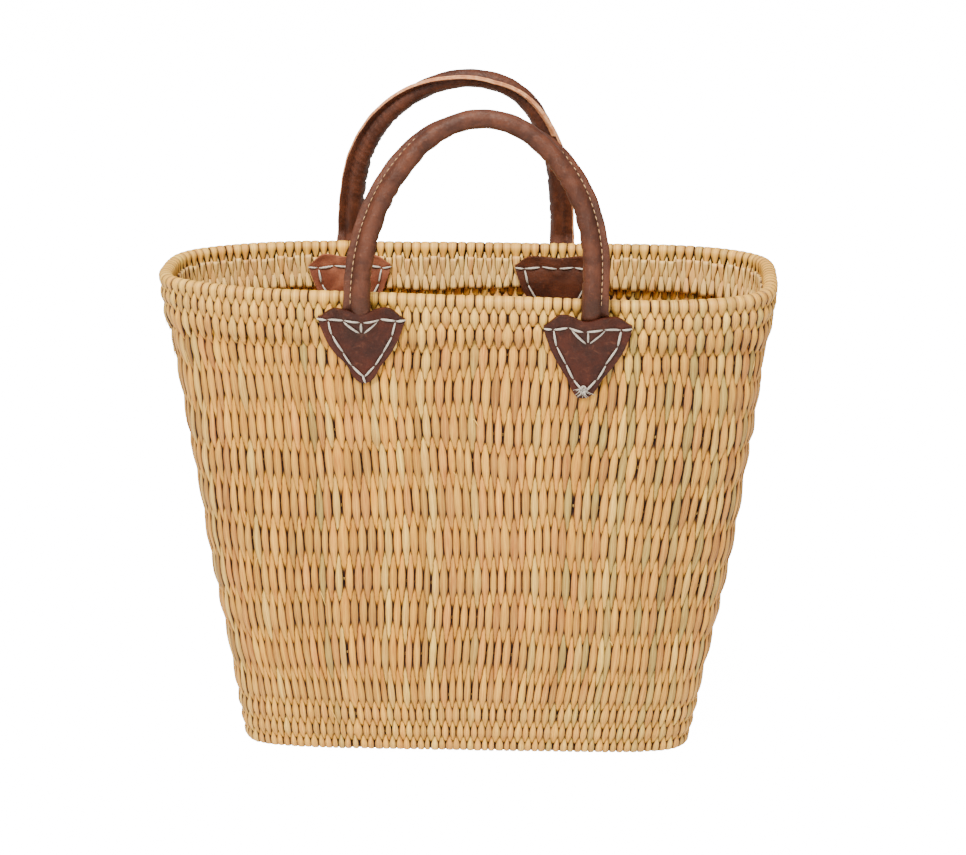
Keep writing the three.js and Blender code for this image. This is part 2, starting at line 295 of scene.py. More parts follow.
# %% Widths and places round the wall
REEDS = 316
WIDE_REEDS, THIN_REEDS = (50, 55, 88, 104, 130), (40, 69, 112, 137)
UNDER_REACH = 149.5
one_side = 1 + 0.075 * chance.standard_normal(REEDS // 2 + 1)
for wide in WIDE_REEDS:
    one_side[wide] *= 1.28
for thin in THIN_REEDS:
    one_side[thin] *= 0.86
reed_width = np.concatenate([one_side, one_side[1:-1][::-1]])
reed_share = reed_width / reed_width.sum()
reed_around = np.cumsum(reed_share) - reed_share / 2 - reed_share[0] / 2
base_places, _ = wall(reed_around, np.zeros(REEDS))
goes_under = np.abs(base_places[:, 0]) < UNDER_REACH
print(REEDS, "reeds,", int(goes_under.sum()), "go under the base")

# %% How much each stretch of reed differs
ROWS = 24
drift = chance.uniform(-0.28, 0.28, (REEDS, ROWS))
ragged = chance.normal(0, 2.6, (REEDS, ROWS))
ragged = (np.roll(ragged, 1, 0) + ragged + np.roll(ragged, -1, 0)) / 3
ragged[:, :4] = ragged[:, 14:] = 0
swell = 1 + chance.uniform(-0.07, 0.07, (REEDS, ROWS))
depth_play = chance.uniform(-0.3, 0.3, (REEDS, ROWS))


def row_play(table, reed, row):
    """A value between those of the two nearest rows. The tables start at row -2."""
    low = np.clip(np.floor(row).astype(int) + 2, 0, ROWS - 2)
    share = np.clip(row + 2 - low, 0, 1)
    return between(table[reed, low], table[reed, low + 1], share)


print("a crossing is up to", np.abs(ragged).max().round(1), "mm out of its row")

# %% How the weave swings
CORD_AND_REED = 1.75
RIM_START, UNDER_END, TUCK_END = -1.625, LAST + 5, LAST + 1.875
TURN_RADIUS = 4
TURN_START = 7.6
BASE_LEVEL = TURN_START - TURN_RADIUS
drop = row_height[LAST] - TURN_START
turn_length = drop + TURN_RADIUS * math.pi / 2


def reed_swing(reed, row, flatness=1.15):
    """1 where a reed is outside a cord, -1 where it is inside, and 0 as it crosses."""
    wave = np.cos(np.pi * (row + reed % 2))
    return np.where(row < 0, 1, np.sign(wave) * np.abs(wave) ** flatness)


def reed_half_width(reed, row, height):
    """Narrow where the reeds cross, wide over the cord, and pointed under the thick band."""
    crossing = np.abs(np.mod(row, 1) - 0.5)
    opened = np.where(row < 0, 1.06, np.clip(crossing / 0.32, 0, 1))
    opened = np.maximum(opened, 0.5 * np.exp(-(((row - 2.5) / 0.16) ** 2)))
    tip = 1 - 0.6 * np.exp(-(((row - 2.65) / 0.1) ** 2)) * (reed % 2 == 0)
    start = np.where(reed % 2 == 0, smooth(-1.75, -0.9, row), smooth(-0.1, 0.5, row))
    half = reed_share[reed] * girth(height) * (0.57 + 0.505 * opened) * tip
    return half * row_play(swell, reed, row) * between(0.22, 1, start)

print("from the lowest cord to the base a reed runs", round(turn_length, 1), "mm")

# %% Across the base
TUCK_STEP = 9


def base_path(reed, row, place, normal, inset):
    """The way from the wall round the turn, and across the base or in behind it, as x and y."""
    flat = np.clip(row - LAST - 1.5, 0, None)
    edge = np.abs(place[:, 1]) - TURN_RADIUS
    first = np.minimum(base_rows[0], edge - 1)
    reach = np.where(flat < 0.5, between(edge, first, flat * 2), 0)
    stops = [first] + [np.full_like(first, b) for b in base_rows[1:]]
    for k in range(len(stops) - 1):
        share = flat - 0.5 - k
        reach = np.where((share >= 0) & (share <= 1), between(stops[k], stops[k + 1], share), reach)
    straight_on = np.stack([place[:, 0], np.sign(place[:, 1]) * reach], axis=-1)
    early = np.stack([place[:, 0], place[:, 1] - np.sign(place[:, 1]) * inset], axis=-1)
    under = np.where((flat > 0)[:, None], straight_on, early)
    tucked = place - normal * (inset + flat * TUCK_STEP)[:, None]
    return np.where(goes_under[reed][:, None], under, tucked)


print("tucked ends reach in by", round(TUCK_STEP * (TUCK_END - LAST - 1.5), 1), "mm")

# %% Out from the wall and over the rim
BAND_ROWS, BAND_EXTRA = [0, 1.6, 2.3, 2.7], [2.5, 2.5, 2.0, 0]
FOLD_RADIUS, FOLD_RISE = 4.05, 3.4
TAIL = 12.5


def stand_off(reed, row, swing, over):
    """How far the middle of a reed stands out from the middle of the wall."""
    hanging = np.where(reed % 2 == 0, -0.22, 0.3) * smooth(1, 2, row)
    band = np.interp(row + hanging, BAND_ROWS, BAND_EXTRA)
    offset = swing * CORD_AND_REED + band + row_play(depth_play, reed, row) * np.abs(swing)
    return np.where(row < 0, 0.2 + FOLD_RADIUS * np.cos(over), offset)


print("the band under the rim stands out", BAND_EXTRA[0], "mm more than the rest")

# %% Bend the reeds into the weave
SLANT = 2.4


def lay_reeds(reed, row, across, through):
    """Places in millimetres of points on reeds: across is -1 to 1, and so is through."""
    swing = reed_swing(reed, row)
    fall = np.clip((row - LAST) / 1.5, 0, 1) * turn_length
    turn = np.clip((fall - drop) / TURN_RADIUS, 0, math.pi / 2)
    on_wall = np.interp(row, np.arange(LAST + 1), row_height)
    height = np.where(row > LAST, row_height[LAST] - np.minimum(fall, drop), on_wall)
    height = height - TURN_RADIUS * np.sin(turn)
    half = reed_half_width(reed, row, height)
    slant = SLANT * np.sin(6 * math.pi * reed_around[reed] + 0.024 * height)
    slant = slant * smooth(12, 80, height) * (1 - smooth(270, 320, height))
    along = row_play(drift, reed, row) + slant + across * half
    place, normal = wall(reed_around[reed] + along / girth(height), height)
    out = base_path(reed, row, place, normal, TURN_RADIUS * (1 - np.cos(turn)))

    over = np.clip(-row, 0, 1) * math.pi
    offset = stand_off(reed, row, swing, over)
    lift = np.where(row < 0, FOLD_RISE * np.sin(over), 0)
    lift = lift - np.clip(-1 - row, 0, 1) * TAIL + row_play(ragged, reed, row)
    half_depth = 1.1 + 0.3 * (1 - np.abs(swing))
    cosine = np.where(row < 0, np.cos(over), np.cos(turn))
    sine = np.where(row < 0, np.sin(over), -np.sin(turn))
    spread = offset * np.where(row < 0, 1, cosine) + through * half_depth * cosine
    out = out + normal * spread[:, None]
    z = height + lift + np.where(row < 0, 0, offset * sine) + through * half_depth * sine
    return settle(np.concatenate([out, z[:, None]], axis=1)), half, half_depth, swing


print("the reeds slant by up to", SLANT, "mm")

# %% [markdown]
# ## Colour of the reeds
# Rush dries to many tones: straw, gold, cream, a rosy tan, and here and there a reed that stayed
# green. Each reed gets one tone, stored on its points as a colour attribute, with the tone of each
# stretch a little different. The material then adds fibres, dark edges and stains on top of it.

# %% Tones
def linear(red, green, blue):
    """A screen colour from 0 to 255 as the linear colour that the renderer works in."""
    c = np.array([red, green, blue]) / 255
    return np.where(c <= 0.04045, c / 12.92, ((c + 0.055) / 1.055) ** 2.4)


STRAW, GOLD = linear(226, 172, 62), linear(230, 170, 46)
CREAM, ROSY, GREEN = linear(244, 204, 96), linear(222, 161, 62), linear(190, 164, 78)
palette = np.array([STRAW, GOLD, CREAM, ROSY, GREEN])
GREEN_KIND = 4
GREEN_REEDS = (45, 103, 109, 114, 115, 122, 127, 128, 134, 141)
kinds = chance.choice(GREEN_KIND, REEDS // 2 + 1, p=[0.46, 0.16, 0.19, 0.19])
for green in GREEN_REEDS:
    kinds[green] = GREEN_KIND
kinds = np.concatenate([kinds, kinds[1:-1][::-1]])
tone = palette[kinds] * (1 + 0.11 * chance.standard_normal((REEDS, 1)))
stretch = 1 + 0.09 * chance.standard_normal((REEDS, ROWS))


def reed_colour(reed, row, height, through):
    """Painted light: the reeds are made paler at the rim, near the base and on their inner side."""
    colour = tone[reed] * row_play(stretch, reed, row)[:, None]
    painted_light = 0.55 * smooth(300, 345, height) + 0.3 * (1 - smooth(25, 75, height))
    colour = between(colour, CREAM * 1.08, painted_light[:, None])
    colour = colour * (1 + 0.22 * np.clip(-through, 0, 1))[:, None]
    return np.clip(np.concatenate([colour, np.ones((len(reed), 1))], axis=1), 0, 1)


print("stretches of reed that stayed green:", int((kinds == GREEN_KIND).sum()))

# %% [markdown]
# ## Effects that several materials share
# Fibre streaks and leather grain are each a node group, with their settings as inputs.
# A group gives back plain values, and the shader itself stays in the material.

# %% Helpers for nodes
def group(name, inputs, outputs):
    tree = bpy.data.node_groups.new(name, "ShaderNodeTree")
    for label, kind, value in inputs:
        socket = tree.interface.new_socket(label, in_out="INPUT", socket_type=kind)
        if value is not None:
            socket.default_value = value
    for label, kind in outputs:
        tree.interface.new_socket(label, in_out="OUTPUT", socket_type=kind)
    return tree, tree.nodes.new("NodeGroupInput"), tree.nodes.new("NodeGroupOutput")


def node(tree, kind, **settings):
    made = tree.nodes.new(kind)
    for key, value in settings.items():
        setattr(made, key, value)
    return made


def feed(tree, socket, value):
    """Links a socket to another one, or sets it to a constant."""
    if isinstance(value, bpy.types.NodeSocket):
        tree.links.new(value, socket)
    else:
        socket.default_value = value


def maths(tree, operation, a, b=0.5, c=0.5, clamp=False):
    made = node(tree, "ShaderNodeMath", operation=operation, use_clamp=clamp)
    for socket, value in zip(made.inputs, (a, b, c)):
        feed(tree, socket, value)
    return made.outputs[0]


# %% Noise, ramps and mixes
def noise(tree, vector, scale, detail=2.0, roughness=0.5, distortion=0.0):
    made = node(tree, "ShaderNodeTexNoise")
    feed(tree, made.inputs["Vector"], vector)
    settings = {"Scale": scale, "Detail": detail, "Roughness": roughness, "Distortion": distortion}
    for label, value in settings.items():
        feed(tree, made.inputs[label], value)
    return made.outputs["Fac"]


def stretched(tree, vector, scale):
    made = node(tree, "ShaderNodeVectorMath", operation="MULTIPLY")
    feed(tree, made.inputs[0], vector)
    feed(tree, made.inputs[1], scale)
    return made.outputs[0]


def ramp(tree, value, low, high, to_low=0.0, to_high=1.0):
    made = node(tree, "ShaderNodeMapRange", interpolation_type="SMOOTHSTEP")
    settings = {"Value": value, "From Min": low, "From Max": high, "To Min": to_low, "To Max": to_high}
    for label, v in settings.items():
        feed(tree, made.inputs[label], v)
    return made.outputs[0]


def mix(tree, share, a, b, blend="MIX"):
    made = node(tree, "ShaderNodeMix", data_type="RGBA", blend_type=blend)
    feed(tree, made.inputs["Factor"], share)
    feed(tree, made.inputs[6], a)
    feed(tree, made.inputs[7], b)
    return made.outputs[2]


def colour(red, green, blue):
    return tuple(linear(red, green, blue)) + (1.0,)


print("middle grey is", round(colour(128, 128, 128)[0], 3), "to the renderer")


# %% Fibre streaks
fibres, box_in, box_out = group(
    "fibre_streaks",
    [
        ("Grain", "NodeSocketVector", None),
        ("Fineness", "NodeSocketFloat", 2.2),
        ("Length", "NodeSocketFloat", 0.05),
    ],
    [("Streak", "NodeSocketFloat"), ("Stain", "NodeSocketFloat"), ("Relief", "NodeSocketFloat")],
)
fine = node(fibres, "ShaderNodeCombineXYZ")
for axis in ("X", "Y"):
    feed(fibres, fine.inputs[axis], box_in.outputs["Fineness"])
feed(fibres, fine.inputs["Z"], box_in.outputs["Length"])
thread_space = stretched(fibres, box_in.outputs["Grain"], fine.outputs[0])
streak = noise(fibres, thread_space, 1.0, 3.0, 0.6)
hair = noise(fibres, thread_space, 3.1, 2.0, 0.6)
stain = noise(fibres, stretched(fibres, box_in.outputs["Grain"], (0.14, 0.14, 0.035)), 1.0, 3.0, 0.6)
feed(fibres, box_out.inputs["Streak"], ramp(fibres, streak, 0.32, 0.68))
feed(fibres, box_out.inputs["Stain"], ramp(fibres, stain, 0.42, 0.72))
feed(fibres, box_out.inputs["Relief"], maths(fibres, "MULTIPLY_ADD", hair, 0.45, streak))
print("node group:", fibres.name)

# %% Leather grain
hide, hide_in, hide_out = group(
    "leather_grain",
    [
        ("Place", "NodeSocketVector", None),
        ("Pebble Size", "NodeSocketFloat", 1100.0),
        ("Cloud Size", "NodeSocketFloat", 60.0),
    ],
    [("Pebbles", "NodeSocketFloat"), ("Clouds", "NodeSocketFloat"), ("Creases", "NodeSocketFloat")],
)
spot, cloud_size = hide_in.outputs["Place"], hide_in.outputs["Cloud Size"]
cell = node(hide, "ShaderNodeTexVoronoi", feature="DISTANCE_TO_EDGE")
feed(hide, cell.inputs["Vector"], spot)
feed(hide, cell.inputs["Scale"], hide_in.outputs["Pebble Size"])
feed(hide, hide_out.inputs["Pebbles"], ramp(hide, cell.outputs["Distance"], 0.0, 0.25))
feed(hide, hide_out.inputs["Clouds"], noise(hide, spot, cloud_size, 4.0, 0.6, 0.4))
crease = noise(hide, spot, maths(hide, "MULTIPLY", cloud_size, 4.0), 3.0, 0.55, 1.2)
feed(hide, hide_out.inputs["Creases"], crease)
print("node group:", hide.name)


# %% Start of a material
def material(name, roughness=0.6):
    made = bpy.data.materials.new(name)
    made.use_nodes = True
    shader = made.node_tree.nodes["Principled BSDF"]
    shader.inputs["Roughness"].default_value = roughness
    return made, made.node_tree, shader


def placed(tree, made_group):
    return node(tree, "ShaderNodeGroup", node_tree=made_group)


def read_attribute(tree, name):
    return node(tree, "ShaderNodeAttribute", attribute_name=name)


def relief(tree, shader, height, distance, strength=0.6):
    bump = node(tree, "ShaderNodeBump")
    feed(tree, bump.inputs["Height"], height)
    feed(tree, bump.inputs["Distance"], distance)
    feed(tree, bump.inputs["Strength"], strength)
    feed(tree, shader.inputs["Normal"], bump.outputs["Normal"])


def streaks(tree, **settings):
    """The fibre streaks, laid along the grain that is stored on the piece."""
    grain = placed(tree, fibres)
    feed(tree, grain.inputs["Grain"], read_attribute(tree, "grain").outputs["Vector"])
    for label, value in settings.items():
        feed(tree, grain.inputs[label], value)
    return grain


# %% [markdown]
# ## Reed, cord and thread
# All three are bundles of fibres, so they share the streaks. The reed takes its own tone, with
# darker streaks, a few stains, and painted shade at its edges and where it dives behind its
# neighbours. Palm cord is dull and coarse. The thread of the shields is waxed, so it is a little
# shiny and a little grey, and the thread of the handle seams is finer and browner.

# %% Dried reed
reed_material, tree, shader = material("dried_reed")
grain = streaks(tree)
tint = read_attribute(tree, "tone").outputs["Color"]
streak_share = maths(tree, "MULTIPLY", grain.outputs["Streak"], 0.8)
streaked = mix(tree, streak_share, tint, colour(196, 158, 118), "MULTIPLY")
stain_share = maths(tree, "MULTIPLY", grain.outputs["Stain"], 0.35)
stained = mix(tree, stain_share, streaked, colour(222, 178, 130), "MULTIPLY")
shade = ramp(tree, read_attribute(tree, "shade").outputs["Fac"], 0.04, 0.75)
feed(tree, shader.inputs["Base Color"], mix(tree, shade, stained, colour(70, 42, 16), "MULTIPLY"))
feed(tree, shader.inputs["Roughness"], ramp(tree, grain.outputs["Streak"], 0.0, 1.0, 0.48, 0.66))
relief(tree, shader, grain.outputs["Relief"], 0.0005, 0.5)
print("material:", reed_material.name)


# %% Cord and thread
def spun(name, roughness, dark, pale, bump, **settings):
    """A material of spun fibres in two tones."""
    made, tree, shader = material(name, roughness)
    grain = streaks(tree, **settings)
    feed(tree, shader.inputs["Base Color"], mix(tree, grain.outputs["Streak"], dark, pale))
    relief(tree, shader, grain.outputs["Relief"], bump)
    return made


palm, palm_light = colour(150, 116, 58), colour(188, 154, 88)
cord_material = spun("palm_cord", 0.8, palm, palm_light, 0.0006, Fineness=3.0, Length=0.4)
wax, wax_light = colour(150, 143, 134), colour(208, 203, 194)
waxed_thread = spun("waxed_thread", 0.5, wax, wax_light, 0.0004, Fineness=3.5, Length=0.9)
brown, brown_light = colour(176, 132, 92), colour(216, 178, 132)
seam_thread = spun("seam_thread", 0.55, brown, brown_light, 0.0003, Fineness=4.0)
print("materials:", cord_material.name, waxed_thread.name, seam_thread.name)

# %% [markdown]
# ## Weave the wall
# The reeds are gathered into twelve panels, so no mesh gets too heavy. In each panel the straight
# reeds are copied side by side, then every point is moved to its place in the weave in one go.
# Every second reed is folded over the rim, and the others start under its cord.

# %% Reed templates
def reed_template(start, end):
    rings = int(round((end - start) * RINGS_PER_ROW)) + 1
    return tube(REED_SIDES, rings), start


first_row = {True: RIM_START, False: 0.125}
last_row = {True: UNDER_END, False: TUCK_END}
templates = {
    (even, under): reed_template(first_row[even], last_row[under])
    for even in (True, False)
    for under in (True, False)
}
print("reed templates:", len(templates))


# %% Length of a reed
def run_table():
    """The rows at which a stretch of reed ends, and the length of reed down to each of them."""
    rows = np.concatenate([np.arange(LAST + 1), [LAST + 1.5], LAST + np.array([2, 3, 4, 5])])
    steps = np.abs(np.diff(row_height))
    flat = [turn_length, base_depth - TURN_RADIUS - base_rows[0]] + list(-np.diff(base_rows))
    return rows, np.concatenate([[0], np.cumsum(np.concatenate([steps, flat]))])


run_rows, run_length = run_table()
print("a reed is", round(2 * run_length[-1]), "mm long from rim to rim")


# %% Section and shade of a reed
def shade_of(across, through, swing):
    """Painted shade: dark at the two edges, on the tips, and where a reed dives behind its neighbours."""
    edge = np.abs(across)
    behind = 0.85 * smooth(0.25, 0.95, -swing * np.sign(through))
    tip = 0.5 * edge**1.2 * (1 - smooth(0, 0.5, np.abs(swing)))
    return np.maximum(np.maximum(edge**3.6, tip), behind)


def flattened(value, power):
    """Pushes the corners of the section out, so that a reed is flat with steep edges."""
    return np.sign(value) * np.abs(value) ** power


print("the flat of a reed is darkened by", shade_of(0.5, 0, 1).round(3), "half way to its edge")

# %% Twelve panels
PANELS = 12
WALL_NODES = ["outer_reeds", "inner_reeds", "rim_fold", "base_reeds_lower", "base_reeds_upper"]
faces = 0
for number, reeds in enumerate(np.array_split(np.arange(REEDS), PANELS), start=1):
    chosen = [templates[(r % 2 == 0, bool(goes_under[r]))] for r in reeds]
    mesh, owner = gather(f"woven_wall_{number:02d}", [c[0] for c in chosen])
    local = places_of(mesh)
    reed = reeds[owner]
    row = np.array([c[1] for c in chosen])[owner] + local[:, 2] / RINGS_PER_ROW
    across, through = flattened(local[:, 0], 0.83), flattened(local[:, 1], 0.8)
    points, half, half_depth, swing = lay_reeds(reed, row, across, through)
    shape(mesh, points)
    run = np.interp(row, run_rows, run_length)
    grain_at = [across * half + reed * 23.7, through * half_depth, run + reed * 7.1]
    attribute(mesh, "grain", np.stack(grain_at, axis=-1))
    attribute(mesh, "tone", reed_colour(reed, row, points[:, 2], through))
    # Painted shade on the inner side of the reeds behind the cut ends, so the gaps between the cut ends look
    # dark.
    shade_under_hem = 0.9 * (through <= 0) * smooth(311, 315, points[:, 2]) * (row > -0.7)
    attribute(mesh, "shade", np.maximum(shade_of(across, through, swing), shade_under_hem))
    panel = piece(mesh, reed_material)
    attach(panel, "basket")
    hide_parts(*WALL_NODES)
    faces += len(mesh.polygons)
print("reed faces:", faces)

# %% [markdown]
# ## Cords
# The cord is two plies of palm fibre twisted together. Its section has two lobes that turn as the
# cord goes along. One ring is a tube of six sides, and its last ring of points is welded to its
# first. The same tube makes the straight cords under the base.

# %% Places on a cord
RING_STEPS = 4 * (REEDS // 2)
STRAIGHT_STEPS = 120
RING_LAY, STRAIGHT_LAY = 15, 12
STRAIGHT_RADIUS = 1.2
PLY = np.array([1.15, 0.8, 0.8, 1.15, 0.8, 0.8])


def ring_cord(height, along, side):
    """Places on a ring of cord in the wall, and the length of cord up to each of them."""
    share = along / RING_STEPS
    twist = share * round(girth(height) / RING_LAY) * 2 * math.pi + side * math.pi / 3
    place, normal = wall(share, np.full(len(share), height))
    reach = CORD_RADIUS * PLY[side]
    flat = place + normal * (reach * np.cos(twist))[:, None]
    return np.column_stack([flat, height + reach * np.sin(twist)]), share * girth(height)


def straight_cord(cord, along, side):
    """Places on a cord under the base, and how far along it they are."""
    low, high = [np.array(v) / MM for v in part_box(cord)]
    length = between(low[0], high[0], along / STRAIGHT_STEPS)
    twist = length / STRAIGHT_LAY * 2 * math.pi + side * math.pi / 3
    reach = STRAIGHT_RADIUS * PLY[side]
    y = (low[1] + high[1]) / 2 + reach * np.cos(twist)
    return np.column_stack([length, y, BASE_LEVEL + reach * np.sin(twist)]), length


print("the ring in the rim has", round(girth(row_height[0]) / RING_LAY), "turns of twist")

# %% Rings and straight cords
ring_template = tube(6, RING_STEPS + 1)
base_template = tube(6, STRAIGHT_STEPS + 1)
mesh, owner = gather("palm_cords", [ring_template] * len(CORDS) + [base_template] * len(straight))
local = places_of(mesh)
corner = np.round(np.arctan2(local[:, 1], local[:, 0]) / (math.pi / 3)).astype(int) % 6
points = np.zeros_like(local)
grain_at = np.zeros_like(local)
for k, cord in enumerate(CORDS + straight):
    mine = owner == k
    along, side = local[mine, 2], corner[mine]
    if k < len(CORDS):
        points[mine], length = ring_cord(row_height[k], along, side)
    else:
        points[mine], length = straight_cord(cord, along, side)
    grain_at[mine] = np.column_stack([side * 1.4, 0 * length + k * 9, length])
shape(mesh, settle(points))
attribute(mesh, "grain", grain_at)
print("points on the cords:", len(points))

# %% Close the rings
BASE_TOP = 0.012
bm = bmesh.new()
bm.from_mesh(mesh)
caps = [f for f in bm.faces if len(f.verts) == 6]
ring_caps = [f for f in caps if f.calc_center_median().z > BASE_TOP]
bmesh.ops.delete(bm, geom=ring_caps, context="FACES_ONLY")
bmesh.ops.remove_doubles(bm, verts=bm.verts, dist=1e-5)
bmesh.ops.recalc_face_normals(bm, faces=bm.faces)
bm.to_mesh(mesh)
bm.free()
cords = piece(mesh, cord_material)
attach(cords, "basket")
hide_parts(*CORDS, *straight)
print("cord faces:", len(mesh.polygons))

# %% [markdown]
# ## The hem inside the rim
# Inside, the ends of the reeds are tucked back into the weave and cut off. In each column there is
# an upper stub with a square top and a pointed foot, and a lower one with a pointed top and a
# square foot. Between two columns a whole reed shows, pointed at both ends. All of them start as
# the same short tube, and only their widths along it differ.

# %% Widths of the cut ends
UPPER, LOWER, WHOLE = (334.6, 320.5), (324.5, 311.6), (338, 310)
STUB_RINGS = 7
columns = np.arange(0, REEDS, 2)
many = len(columns)
mesh, owner = gather("hem_stubs", [tube(8, STUB_RINGS)] * (3 * many))
local = places_of(mesh)
reed = np.concatenate([columns, columns, columns + 1])[owner]
lower = (owner >= many) & (owner < 2 * many)
whole = owner >= 2 * many
down = local[:, 2] / (STUB_RINGS - 1)
cut = chance.uniform(-1.2, 1.2, 3 * many)[owner]
tilt = 1.2 * np.sin(owner * 2.4) * (down - 0.5)
shift = chance.uniform(-0.5, 0.5, 3 * many)[owner] + tilt
top = np.where(lower, LOWER[0], np.where(whole, WHOLE[0], UPPER[0] + cut))
foot = np.where(lower, LOWER[1] + cut * 0.6, np.where(whole, WHOLE[1], UPPER[1]))
height = between(top, foot, down)
fat = np.where(lower, smooth(-0.15, 0.75, down), 1 - smooth(0.2, 1.15, down))
fat = np.where(whole, np.sin(math.pi * np.clip(down, 0.03, 0.97)) ** 0.7 * 1.1, fat)
half = reed_share[reed] * girth(height) * between(0.14, 0.8, fat)
print("a cut end is up to", (2 * half).max().round(1), "mm wide")

# %% Lay the cut ends
around = reed_around[reed] + (local[:, 0] * half + shift) / girth(height)
place, normal = wall(around, height)
inward = np.where(whole, 1.6 + 2.0 * fat, between(3.6, 5.0, fat))
inward = np.where(lower, between(3.0, 4.9, fat), inward)
thick = between(0.7, 1.15, fat)
flat = place - normal * (inward + local[:, 1] * thick)[:, None]
shape(mesh, settle(np.column_stack([flat, height])))
faces_outwards(mesh)
# The cut ends get random tones of the reeds, made brighter and paler: painted light on the inside of the
# rim.
tone_and_light_of = palette[chance.choice(4, 3 * many, p=[0.25, 0.1, 0.6, 0.05])]
tone_and_light_of = tone_and_light_of * chance.uniform(0.85, 1.75, (3 * many, 1))
tone_and_light_of = between(tone_and_light_of, linear(252, 230, 168), 0.42)
tone_and_light_of /= np.maximum(1, tone_and_light_of.max(axis=1, keepdims=True) / 0.96)
attribute(mesh, "grain", np.stack([local[:, 0] * half + owner * 13.7, local[:, 1], -height], axis=-1))
attribute(mesh, "tone", np.clip(np.column_stack([tone_and_light_of[owner], np.ones(len(owner))]), 0, 1))
attribute(mesh, "shade", np.abs(local[:, 0]) ** 4)
stubs = piece(mesh, reed_material)
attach(stubs, "basket")
print(2 * many, "cut ends and", many, "reeds between them")

# %% [markdown]
# ## Leather and raw edges
# The leather is a thin vegetable tanned hide: red brown, cloudy, with fine pebbles, small creases
# and rubbed edges. One function makes the dark leather of the shields, the lighter lining and the
# leather of the handles. Where a handle is cut, the pale inside of the hide shows.

# %% Tanned leather
def leather(name, dark, warm, roughness):
    made, tree, shader = material(name)
    shader.inputs["Specular IOR Level"].default_value = 0.25
    skin = placed(tree, hide)
    feed(tree, skin.inputs["Place"], node(tree, "ShaderNodeTexCoord").outputs["Object"])
    crease = skin.outputs["Creases"]
    base = mix(tree, ramp(tree, skin.outputs["Clouds"], 0.34, 0.66), dark, warm)
    worn = maths(tree, "MULTIPLY", ramp(tree, crease, 0.56, 0.78), 0.22)
    rubbed = mix(tree, worn, base, colour(138, 80, 54))
    # Painted shade in the hollows: beside the stitches of the shields, along the seam of the handles and in
    # their creases.
    painted_shade_share = maths(tree, "MULTIPLY", read_attribute(tree, "hollow_shade").outputs["Fac"], 0.8)
    feed(tree, shader.inputs["Base Color"], mix(tree, painted_shade_share, rubbed, colour(40, 18, 12)))
    sheen = ramp(tree, crease, 0.3, 0.7, roughness + 0.08, roughness - 0.06)
    feed(tree, shader.inputs["Roughness"], sheen)
    pebbles = maths(tree, "MULTIPLY", skin.outputs["Pebbles"], 0.35)
    relief(tree, shader, maths(tree, "MULTIPLY_ADD", crease, 1.6, pebbles), 0.0005, 0.55)
    return made


patch_leather = leather("patch_leather", colour(46, 15, 7), colour(66, 25, 12), 0.5)
lining_leather = leather("lining_leather", colour(106, 56, 38), colour(142, 86, 62), 0.55)
handle_leather = leather("handle_leather", colour(60, 31, 21), colour(84, 46, 31), 0.42)
print("leathers:", patch_leather.name, lining_leather.name, handle_leather.name)

# %% Raw edges
raw_edge, tree, shader = material("raw_leather_edge", 0.85)
skin = placed(tree, hide)
feed(tree, skin.inputs["Place"], node(tree, "ShaderNodeTexCoord").outputs["Object"])
feed(tree, skin.inputs["Cloud Size"], 260.0)
cloud = ramp(tree, skin.outputs["Clouds"], 0.35, 0.65)
feed(tree, shader.inputs["Base Color"], mix(tree, cloud, colour(178, 114, 76), colour(208, 152, 110)))
relief(tree, shader, skin.outputs["Creases"], 0.0005)
print("material:", raw_edge.name)

# %% [markdown]
# ## The patches
# Each handle end is held by a shield of leather outside and another inside. A shield is a grid of
# leather pulled to its outline and laid on the weave. Its free top edge curls away from the wall,
# the handle end makes a hump under its middle, and every stitch pulls a small dent into it.

# %% Outline of a shield
SIDE_X = np.array([0, 4.4, 7.6, 9.6, 11.4, 13.5, 17, 20.5, 24.9, 28.3, 29.7, 30])
SIDE_DROP = np.array([1.0, 0.975, 0.92, 0.85, 0.785, 0.73, 0.655, 0.565, 0.42, 0.26, 0.185, 0.165])
STITCH_LINE = np.array([(23, 9.5), (20.8, 19.5), (13.6, 31.5), (7.8, 41), (0.2, 48.3)])
TOP_LINE = np.array([(30.6, 8.2), (23.4, 8.9), (12.0, 7.4), (0.6, 8.6)])


